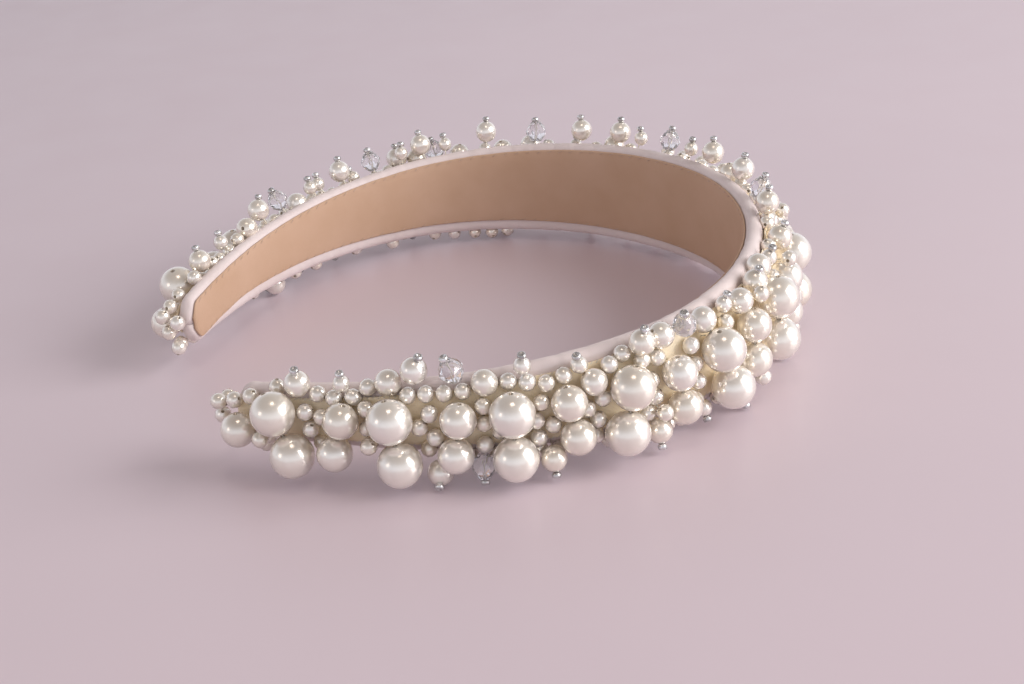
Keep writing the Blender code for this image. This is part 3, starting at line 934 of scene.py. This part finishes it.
def stitching_tree():
    """Stitches at an even pitch along a path, square to the cloth and slanted over its edge."""
    inputs = [
        ("Stitch", "NodeSocketObject", None),
        ("Pitch", "NodeSocketFloat", 0.001),
        ("Slant", "NodeSocketFloat", 0.0),
        ("Seed", "NodeSocketInt", 1),
        ("Material", "NodeSocketMaterial", None),
    ]
    tree, start, end = geometry_tree("stitching", inputs)
    curve = node(tree, "GeometryNodeMeshToCurve")
    even = node(tree, "GeometryNodeResampleCurve")
    even.mode = "LENGTH"
    shape = node(tree, "GeometryNodeObjectInfo")
    cloth = node(tree, "GeometryNodeInputNamedAttribute", {"Name": "cloth_way"}, data_type="FLOAT_VECTOR")
    tangent = node(tree, "GeometryNodeInputTangent")
    stand = node(tree, "FunctionNodeAlignRotationToVector", axis="Z")
    lie = node(tree, "FunctionNodeAlignRotationToVector", axis="X", pivot_axis="Z")
    wobble = node(tree, "FunctionNodeRandomValue", data_type="FLOAT")
    wobble.inputs[2].default_value = -0.16
    wobble.inputs[3].default_value = 0.16
    slant = node(tree, "ShaderNodeMath", operation="ADD")
    upright = node(tree, "ShaderNodeCombineXYZ")
    turn = node(tree, "FunctionNodeEulerToRotation")
    rotate = node(tree, "FunctionNodeRotateRotation", rotation_space="LOCAL")
    copies = node(tree, "GeometryNodeInstanceOnPoints")
    wire(
        tree,
        (start.outputs["Geometry"], curve.inputs[0]),
        (curve.outputs[0], even.inputs["Curve"]),
        (start.outputs["Pitch"], even.inputs["Length"]),
        (start.outputs["Stitch"], shape.inputs["Object"]),
        (cloth.outputs[0], stand.inputs["Vector"]),
        (stand.outputs[0], lie.inputs["Rotation"]),
        (tangent.outputs[0], lie.inputs["Vector"]),
        (start.outputs["Seed"], wobble.inputs["Seed"]),
        (wobble.outputs[1], slant.inputs[0]),
        (start.outputs["Slant"], slant.inputs[1]),
        (slant.outputs[0], upright.inputs["Z"]),
        (upright.outputs[0], turn.inputs[0]),
        (lie.outputs[0], rotate.inputs["Rotation"]),
        (turn.outputs[0], rotate.inputs["Rotate By"]),
        (even.outputs[0], copies.inputs["Points"]),
        (shape.outputs["Geometry"], copies.inputs["Instance"]),
        (rotate.outputs[0], copies.inputs["Rotation"]),
    )
    finish_tree(tree, start, end, copies.outputs[0])
    return tree


STRINGING = stringing_tree()
STITCHING = stitching_tree()


def grow(name, source, tree, values):
    """The plain mesh that a tree makes of a source mesh; values go by the sockets' names."""
    maker = new_piece(name + "_maker", source)
    modifier = maker.modifiers.new("grow", "NODES")
    modifier.node_group = tree
    identifiers = {item.name: item.identifier for item in tree.interface.items_tree if item.in_out == "INPUT"}
    for socket, value in values.items():
        modifier[identifiers[socket]] = value
    bpy.context.view_layer.update()
    depsgraph = bpy.context.evaluated_depsgraph_get()
    mesh = bpy.data.meshes.new_from_object(
        maker.evaluated_get(depsgraph), preserve_all_data_layers=True, depsgraph=depsgraph
    )
    mesh.name = name
    maker.modifiers.remove(modifier)
    bpy.data.objects.remove(maker)
    bpy.data.objects.remove(values.get("Shape") or values.get("Stitch"))
    return new_piece(name, mesh)


def vector_attribute(mesh, name, vectors):
    made = mesh.attributes.new(name, "FLOAT_VECTOR", "POINT")
    made.data.foreach_set("vector", [number for vector in vectors for number in vector])


def strung(name, shape_mesh, beads, material, spread=0.015, seed=1):
    """Beads at their places; each is a middle, a thread direction and a size along each axis."""
    source = bpy.data.meshes.new(name)
    source.from_pydata([middle for middle, thread, size in beads], [], [])
    vector_attribute(source, "thread", [thread for middle, thread, size in beads])
    vector_attribute(source, "size", [size for middle, thread, size in beads])
    shape = new_piece(name + "_shape", shape_mesh)
    values = {"Shape": shape, "Size Spread": spread, "Seed": seed, "Material": material}
    return grow(name, source, STRINGING, values)


def stitched(name, stitch, paths, pitch, slant, material, seed=1):
    """Stitches along paths, each a list of a point and the way that the cloth faces there."""
    source = bpy.data.meshes.new(name)
    points = []
    ways = []
    joins = []
    for path in paths:
        first = len(points)
        points += [point for point, way in path]
        ways += [way for point, way in path]
        joins += [(index, index + 1) for index in range(first, len(points) - 1)]
    source.from_pydata(points, joins, [])
    vector_attribute(source, "cloth_way", ways)
    shape = new_piece(name + "_shape", stitch)
    values = {"Stitch": shape, "Pitch": pitch, "Slant": slant, "Seed": seed, "Material": material}
    return grow(name, source, STITCHING, values)


# ---------------------------------------------------------------- where the beads are

def equal(radius):
    return (radius, radius, radius)


def pearl_row(row):
    """Where a row's middle is, and the direction to its upper pearl."""
    from_tip = min(row, ROW_COUNT + 1 - row)
    nudge, slant, rise = ROW_CHART[from_tip - 1]
    distance = FIRST_ROW + (from_tip - 1) * PITCH + nudge
    sideways = -math.sin(math.radians(slant))
    if from_tip != row:
        distance = BIG_LINE.length - distance
        sideways = -sideways
    outward = BIG_LINE.at(distance)[1]
    along = Vector((-outward.y, outward.x)) * sideways
    middle = ROW_HEIGHT + ROW_RISE * crownness(BIG_LINE, distance) + BIG + PEARL_GAP / 2.0 + rise
    return distance, middle, Vector((along.x, along.y, math.cos(math.radians(slant))))


class Beads:
    """Everything that is strung, by kind, and the room that it takes."""

    def __init__(self):
        self.big = []
        self.medium = []
        self.small = []
        self.tiny = []
        self.seeds = []
        self.crystals = []
        self.threads = []
        self.room = []

    def add(self, kind, middle, thread, radius):
        getattr(self, kind).append((middle, thread, equal(radius)))
        self.room.append((middle, radius))

    def thread(self, start, end):
        way = end - start
        self.threads.append((start, way, (THREAD, THREAD, way.length)))

    def clear(self, middle, radius, gap=0.0):
        """True if a bead there touches no other."""
        return all((middle - other).length >= radius + size + gap for other, size in self.room)


def add_rows(beads):
    """The rows of two big and two medium pearls, turn about, and the single pearl at each tip."""
    for row in range(1, ROW_COUNT + 1):
        distance, height, upward = pearl_row(row)
        kind, radius = ("big", BIG) if row % 2 else ("medium", MEDIUM)
        middle = place(BIG_LINE, distance, radius - BIG, height)
        outward = facing(BIG_LINE, distance)
        half_spacing = radius + PEARL_GAP / 2.0
        for way in (-1.0, 1.0):
            pearl = middle + upward * half_spacing * way
            beads.add(kind, pearl, upward, radius)
            pole = pearl + upward * radius * 0.9 * way
            foot = pearl + upward * radius * 0.45 * way - outward * (radius + 0.7 * MM)
            beads.thread(pole, foot)
        beads.thread(middle - upward * radius * 0.5, middle + upward * radius * 0.5)
    for distance in (END_PEARL, BIG_LINE.length - END_PEARL):
        pearl = place(BIG_LINE, distance, MEDIUM - BIG, END_HEIGHT)
        beads.add("medium", pearl, Vector((0.0, 0.0, 1.0)), MEDIUM)


def mirrored(distance, side):
    return distance if side > 0 else LINE.length - distance


MOST_PUSHES = 40
TOUCHING = 0.03 * MM       # less of an overlap than this is none
NEARLY_FREE = 0.15 * MM    # the most that may be left after the last push
OFF_TABLE = 0.3 * MM       # between the small pearls and what the headband lies on


def freed(beads, middle, radius):
    """The place beside the other beads that a bead is pushed to, or None if it would sit inside one."""
    for _ in range(MOST_PUSHES):
        deepest, depth = None, TOUCHING
        for other, size in beads.room:
            overlap = radius + size - (middle - other).length
            if overlap > depth:
                deepest, depth = other, overlap
        if deepest is None:
            return middle
        if depth > TOO_DEEP:
            return None
        middle = middle + (middle - deepest).normalized() * depth
        middle.z = max(middle.z, radius + OFF_TABLE)
    return middle if depth < NEARLY_FREE else None


RADII = {"small": SMALL, "plain": SMALL, "tiny": TINY, "crystal": CRYSTAL_REACH}
TOO_DEEP = 1.6 * MM         # further in than this, a bead is left out
STOP_GAP = 0.62 * MM       # from a picot's bead to the middle of its stop bead


def string_picot(beads, kind, middle, way, foot):
    """A bead and a stop bead on a thread that comes out of the band at its foot."""
    radius = RADII[kind]
    if kind == "crystal":
        beads.crystals.append((middle, way, equal(1.0)))
        beads.room.append((middle, radius))
    else:
        beads.add("tiny" if kind == "tiny" else "small", middle, way, radius)
    stop = middle + way * (radius + STOP_GAP)
    beads.thread(foot, middle)
    beads.thread(middle, stop if kind != "plain" else middle + way * radius * 0.9)
    if kind != "plain":
        beads.add("seeds", stop, way, SEED)


def add_props(beads, side):
    """The picots that the headband rests on, and the crystal on each side of the crown."""
    for row in PROP_ROWS:
        distance = FIRST_ROW + (row - 1.0) * PITCH
        distance = distance if side > 0 else BIG_LINE.length - distance
        outward = facing(BIG_LINE, distance)
        way = outward * math.sin(PROP_LEAN) + Vector((0.0, 0.0, math.cos(PROP_LEAN)))
        middle = place(BIG_LINE, distance, PROP_OUT - BIG_OUT, PROP_HEIGHT)
        string_picot(beads, "small", middle, way, middle - way * (SMALL + 1.2 * MM))
    share = (FIRST_ROW + (CRYSTAL_ROW - 1.0) * PITCH) / BIG_LINE.length
    distance = mirrored(LINE.length * share, side)
    middle, half = edges(distance)
    outward = facing(LINE, distance)
    way = outward * math.sin(CRYSTAL_LEAN) + Vector((0.0, 0.0, math.cos(CRYSTAL_LEAN)))
    centre = place(LINE, distance, CRYSTAL_OUT, middle + half + CRYSTAL_UP)
    string_picot(beads, "crystal", centre, way, centre - way * CRYSTAL_FOOT)


def leaning(distance, side, way, degrees):
    """A thread's direction: mostly straight up or down, a little out, leaning along the band."""
    outward = facing(LINE, distance)
    along = Vector((-outward.y, outward.x, 0.0)) * side
    upright = Vector((0.0, 0.0, math.copysign(1.0, way.z)))
    lean = math.tan(math.radians(degrees))
    return (upright * 0.9 + way * 0.35 + along * lean).normalized()


def add_picots(beads, side):
    """The picots of an arm."""
    for row, across, stand, kind, lean in PICOT_CHART:
        distance = mirrored(row_distance(row), side)
        radius = RADII[kind]
        middle, way = on_face(distance, across * MM, radius + stand * MM)
        foot = on_face(distance, across * MM, -0.2 * MM)[0]
        middle = freed(beads, middle, radius)
        if middle:
            string_picot(beads, kind, middle, leaning(distance, side, way, lean), foot)


def add_crown_picots(beads):
    """The picots on the upper rim of the crown and the left arm."""
    for row, kind, lean in CROWN_PICOTS:
        distance = row_distance(row)
        radius = RADII[kind]
        across = edges(distance)[1] - RIM + RIM * 0.9
        middle, way = on_face(distance, across, radius + 1.0 * MM)
        foot = on_face(distance, across, -0.2 * MM)[0]
        middle = freed(beads, middle, radius)
        if middle:
            string_picot(beads, kind, middle, leaning(distance, 1, way, lean), foot)


def add_tip(beads, side, dice):
    """The small pearls that close round a tip."""
    for row, out, height in TIP_CHART:
        distance = mirrored(row_distance(row), side)
        middle = freed(beads, place(LINE, distance, out * MM, height * MM), TINY)
        if middle:
            beads.add("tiny", middle, random_thread(dice, facing(LINE, distance)), TINY)


def random_thread(dice, way):
    """A thread direction that lies nearly along the cloth."""
    while True:
        guess = Vector((dice.uniform(-1, 1), dice.uniform(-1, 1), dice.uniform(-1, 1)))
        flat = guess - way * guess.dot(way) * 0.75
        if flat.length > 0.2:
            return flat.normalized()


def stand_of(distance, across, radius):
    """How high a bead's middle stands: on the panel, or a little sunk into the padded rim."""
    half = edges(distance)[1]
    rim = min(max((abs(across) - half + PANEL_MARGIN + 1.0 * MM) / (1.6 * MM), 0.0), 1.0)
    return radius * (1.0 - SINK * rim) + SITTING_GAP


def seat(distance, across, radius):
    """Where a bead that is sewn down there has its middle, and the way the cloth faces."""
    return on_face(distance, across, stand_of(distance, across, radius))


def sit(beads, dice, kind, radius, distance, across):
    middle, way = seat(distance, across, radius)
    middle = freed(beads, middle, radius)
    if middle:
        beads.add(kind, middle, random_thread(dice, way), radius)


def settle(places, fixed, rounds=24):
    """Moves beads along the face, a little at a time, until none sinks into another."""
    for _ in range(rounds):
        centres = [seat(*place_)[0] for place_ in places]
        for index, (distance, across, radius) in enumerate(places):
            push = Vector((0.0, 0.0))
            others = [(c, p[2]) for at, (c, p) in enumerate(zip(centres, places)) if at != index]
            for other, size in others + fixed:
                apart = centres[index] - other
                lack = radius + size - apart.length
                if lack <= 0.0:
                    continue
                outward = facing(LINE, distance)
                along = Vector((-outward.y, outward.x, 0.0))
                way = Vector((apart.dot(along), apart.z))
                if way.length > 1e-6:
                    push += way.normalized() * lack * 0.6
            places[index] = (distance + push.x, across + push.y, radius)
    return places


def add_charted(beads, side, dice):
    """The small pearls of an arm."""
    places = []
    for radius, chart in ((TINY, TINY_CHART), (SMALL, SMALL_CHART)):
        for row, across in chart:
            distance = mirrored(max(row_distance(row), 1.0 * MM), side)
            places.append((distance, across * MM, radius))
    near = [(middle, size) for middle, size in beads.room if side * middle.x > -20.0 * MM]
    for distance, across, radius in settle(places, near):
        sit(beads, dice, "small" if radius == SMALL else "tiny", radius, distance, across)


def add_chains(beads, side, dice):
    """Small pearls along both edges of the crown, with a bigger one now and then."""
    first = row_distance(CHARTED_ROWS) + 1.0 * MM
    for edge in (1, -1):
        distance = first
        count = 0
        while distance < LINE.length / 2.0:
            radius = SMALL if count % 5 == 2 else TINY
            here = mirrored(distance + dice.uniform(-0.5, 0.5) * MM, side)
            reach = edges(here)[1] - RIM
            across = edge * (reach + dice.uniform(-1.1, 0.5) * MM)
            middle = seat(here, across, radius)[0]
            if middle.z > radius + 0.2 * MM and beads.clear(middle, radius):
                sit(beads, dice, "small" if radius == SMALL else "tiny", radius, here, across)
            distance += EDGE_PITCH * (1.25 if radius == SMALL else 1.0)
            count += 1


def fill(beads, dice):
    """Small pearls wherever the face still has room for one."""
    first = row_distance(CHARTED_ROWS - 0.4)
    for _ in range(FILL_TRIES):
        distance = dice.uniform(1.0 * MM, LINE.length - 1.0 * MM)
        reach = edges(distance)[1] - RIM
        share = dice.uniform(-1.25, 1.0)
        charted = min(distance, LINE.length - distance) < first
        if charted and share > -0.85:
            continue
        across = share * reach
        middle = seat(distance, across, TINY)[0]
        if middle.z < TINY + OFF_TABLE:
            continue
        if beads.clear(middle, TINY, 0.25 * MM):
            sit(beads, dice, "tiny", TINY, distance, across)


def heap(beads, dice):
    """Small pearls on longer threads, over the first ones, where there is room."""
    first = row_distance(CHARTED_ROWS - 0.4)
    for _ in range(HEAP_TRIES):
        distance = dice.uniform(2.0 * MM, LINE.length - 2.0 * MM)
        share = dice.uniform(-0.95, 0.9)
        if share > -0.3 and min(distance, LINE.length - distance) < first:
            continue
        across = share * (edges(distance)[1] - RIM)
        middle, way = on_face(distance, across, TINY + dice.uniform(*HEAP_LIFT))
        if middle.z > TINY + OFF_TABLE and beads.clear(middle, TINY, HEAP_GAP):
            foot = on_face(distance, across, -0.2 * MM)[0]
            beads.add("tiny", middle, random_thread(dice, way), TINY)
            beads.thread(foot, middle)


def lay_out():
    beads = Beads()
    dice = random.Random(FILL_SEED)
    add_rows(beads)
    for side in (1, -1):
        add_props(beads, side)
        add_picots(beads, side)
        add_tip(beads, side, dice)
    add_crown_picots(beads)
    for side in (1, -1):
        add_charted(beads, side, dice)
        add_chains(beads, side, dice)
    fill(beads, dice)
    heap(beads, dice)
    return beads


def edge_path(point_at, start, count):
    return [point_at(distance) for distance in spaced(start, LINE.length - start, count)]


def binding_paths():
    """Along both edges of the panel."""
    paths = []
    for share in (-0.985, 0.985):
        def point_at(distance):
            return panel_point(distance, share, PANEL_THICKNESS * 0.8), facing(LINE, distance)
        paths.append(edge_path(point_at, PANEL_START + 0.6 * MM, 600))
    return paths


def lining_paths():
    """Along both edges of the lining, on its inner face."""
    paths = []
    for edge in (-1.0, 1.0):
        def point_at(distance):
            low, high = lining_edges(distance)
            height = high - 0.5 * MM if edge > 0.0 else low + 0.5 * MM
            out = 0.11 * MM - LINING_FACE + rim_fall(distance, height)
            return place(LINE, distance, out, height), -facing(LINE, distance)
        paths.append(edge_path(point_at, LINING_START + 4.0 * MM, 500))
    return paths


# ---------------------------------------------------------------- the whole headband

def settle_piece(thing, slot, *nodes):
    """Rides on the one body and stands for its CAD nodes, which it hides; the slot is not used."""
    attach(thing, "root")
    if nodes:
        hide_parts(*nodes)
    return thing


def nodes_named(*starts):
    return [name for name in sorted(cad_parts) if name.startswith(starts)]


def make_headband():
    satin = cloth_material("blush_satin", (0.72, 0.61, 0.59), (0.82, 0.72, 0.71), 6500.0, 0.00002, 0.40, 0.35)
    nude = cloth_material("nude_lining", (0.52, 0.335, 0.22), (0.60, 0.405, 0.29), 4200.0, 0.00003, 0.85, 0.7)
    cream = cloth_material("cream_panel", (0.99, 0.81, 0.54), (1.0, 0.89, 0.70), 2300.0, 0.00005, 0.75, 0.3)
    ivory = pearl_material()
    crystal = crystal_material()
    silver = seed_material()
    thread = thread_material("cream_thread", (0.74, 0.66, 0.52), (0.93, 0.88, 0.78))
    nude_thread = thread_material("nude_thread", (0.42, 0.28, 0.20), (0.62, 0.45, 0.34))

    cover = settle_piece(make_cover(satin), "blush_satin", "satin_cover")
    lining = settle_piece(make_lining(nude), "nude_lining", "inner_lining")
    panel = settle_piece(make_panel(cream), "cream_panel", "bead_panel")
    binding = stitched(
        "panel_binding", stitch_mesh(1.3 * MM, 0.13 * MM, 0.10 * MM), binding_paths(), 1.25 * MM,
        math.radians(38.0), thread, seed=5,
    )
    hems = stitched(
        "lining_stitches", stitch_mesh(1.3 * MM, 0.12 * MM, 0.09 * MM), lining_paths(), 3.2 * MM,
        math.radians(25.0), nude_thread, seed=6,
    )
    settle_piece(binding, "cream_panel")
    settle_piece(hems, "nude_lining")

    beads = lay_out()
    big_shape = turned("big_shape", bead_profile(0.11, 21), 40)
    medium_shape = turned("medium_shape", bead_profile(0.12, 19), 36)
    small_shape = turned("small_shape", bead_profile(0.15, 11), 20)
    tiny_shape = turned("tiny_shape", bead_profile(0.19, 6), 10)
    seed_shape = turned("seed_shape", seed_profile(), 8)
    strings = (
        ("pearls_10mm", big_shape, beads.big, ivory, 0.008, nodes_named("pearl_10mm")),
        ("pearls_8mm", medium_shape, beads.medium, ivory, 0.01, nodes_named("pearl_8mm", "tip_pearl")),
        ("pearls_6mm", small_shape, beads.small, ivory, 0.02, nodes_named("arm_picot", "crown_picot")),
        ("pearls_4mm", tiny_shape, beads.tiny, ivory, 0.04, []),
        ("crystals", crystal_mesh(), beads.crystals, crystal, 0.02, nodes_named("crystal_picot")),
        ("stop_beads", seed_shape, beads.seeds, silver, 0.06, []),
        ("bead_threads", rod_mesh(), beads.threads, thread, 0.0, []),
    )
    slots = {"crystals": "clear_crystal", "stop_beads": "clear_crystal", "bead_threads": "cream_panel"}
    for number, (name, shape, places, material, spread, nodes) in enumerate(strings):
        piece = strung(name, shape, places, material, spread, number + 11)
        settle_piece(piece, slots.get(name, "ivory_pearl"), *nodes)

    plastic = moulded_material(
        "hoop_plastic", (0.80, 0.78, 0.72), (0.86, 0.84, 0.79), 0.35, 0.5, 90.0, 0.00003,
    )
    foam = moulded_material("white_foam", (0.80, 0.79, 0.75), (0.92, 0.91, 0.88), 0.85, 1.0, 400.0, 0.0003)
    for name, material in (("hoop_core", plastic), ("foam_pad", foam)):
        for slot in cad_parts[name].material_slots:
            slot.material = material

    panel_flat = (HIGH_AT_CROWN - LOW_AT_CROWN - 2.0 * PANEL_MARGIN, LINE.outset(dome(0.0)).length)


# ---------------------------------------------------------------- floor, light and camera

EYE = Vector((368.48, -140.64, 177.64)) * MM
SIGHT = Vector((-0.84923, 0.32756, -0.41413))
RIGHT = Vector((0.39825, 0.91234, -0.09506))
LENS = 59.77
SENSOR = 36.0


def axes_quaternion(right, back):
    """The turn that takes X to right and Z to back."""
    back = back.normalized()
    right = (right - back * right.dot(back)).normalized()
    up = back.cross(right)
    from mathutils import Matrix
    return Matrix((right, up, back)).transposed().to_quaternion()


def make_camera():
    data = bpy.data.cameras.new("camera")
    data.lens = LENS
    data.sensor_width = SENSOR
    data.clip_start = 0.01
    camera = bpy.data.objects.new("camera", data)
    bpy.context.scene.collection.objects.link(camera)
    camera.rotation_mode = "QUATERNION"
    camera.rotation_quaternion = axes_quaternion(RIGHT, -SIGHT)
    camera.location = EYE + SHIFT
    bpy.context.scene.camera = camera


def seen_from_camera(right, up, back):
    """A direction given in the camera's own axes."""
    upward = (-SIGHT).cross(RIGHT)
    return (RIGHT * right + upward * up - SIGHT * back).normalized()


def make_light(name, way, distance, size, power, colour):
    """A soft square light that faces the headband."""
    data = bpy.data.lights.new(name, "AREA")
    data.shape = "RECTANGLE"
    data.size, data.size_y = size
    data.energy = power
    data.color = colour
    light = bpy.data.objects.new(name, data)
    bpy.context.scene.collection.objects.link(light)
    light.location = way * distance
    light.rotation_mode = "QUATERNION"
    light.rotation_quaternion = way.to_track_quat("Z", "Y")


def make_lights():
    """A wide window to the right, two faint warm lamps, and a room that is darker overhead."""
    window = seen_from_camera(0.84, 0.36, 0.41)
    make_light("window", window, 1.3, (0.9, 0.8), 15.0, (1.0, 0.985, 0.97))
    upper = seen_from_camera(0.0, 0.80, 0.60)
    make_light("upper_lamp", upper, 1.3, (0.30, 0.30), 0.9, (1.0, 0.86, 0.74))
    side = seen_from_camera(-0.83, 0.05, 0.56)
    make_light("side_lamp", side, 1.3, (0.3, 0.3), 0.4, (1.0, 0.88, 0.78))
    world = bpy.data.worlds.new("room")
    world.use_nodes = True
    tree = world.node_tree
    background = tree.nodes["Background"]
    background.inputs["Strength"].default_value = 1.0
    direction = node(tree, "ShaderNodeTexCoord")
    apart = node(tree, "ShaderNodeSeparateXYZ")
    ramp = node(tree, "ShaderNodeValToRGB")
    stops = ramp.color_ramp.elements
    stops[0].position = 0.0
    stops[0].color = (0.86, 0.86, 0.93, 1.0)
    stops[1].position = 1.0
    stops[1].color = (0.27, 0.22, 0.195, 1.0)
    for position, colour in ((0.34, (0.76, 0.77, 0.84, 1.0)), (0.66, (0.40, 0.37, 0.36, 1.0))):
        stops.new(position).color = colour
    wire(
        tree,
        (direction.outputs["Object"], apart.inputs[0]),
        (apart.outputs["Z"], ramp.inputs["Fac"]),
        (ramp.outputs["Color"], background.inputs["Color"]),
    )
    bpy.context.scene.world = world


def make_floor():
    shape = bmesh.new()
    bmesh.ops.create_grid(shape, x_segments=1, y_segments=1, size=3.0)
    mesh = bpy.data.meshes.new("floor")
    shape.to_mesh(mesh)
    shape.free()
    new_piece("floor", mesh, floor_material())


make_headband()
make_floor()
make_lights()
make_camera()
bpy.context.scene.view_settings.view_transform = "Standard"
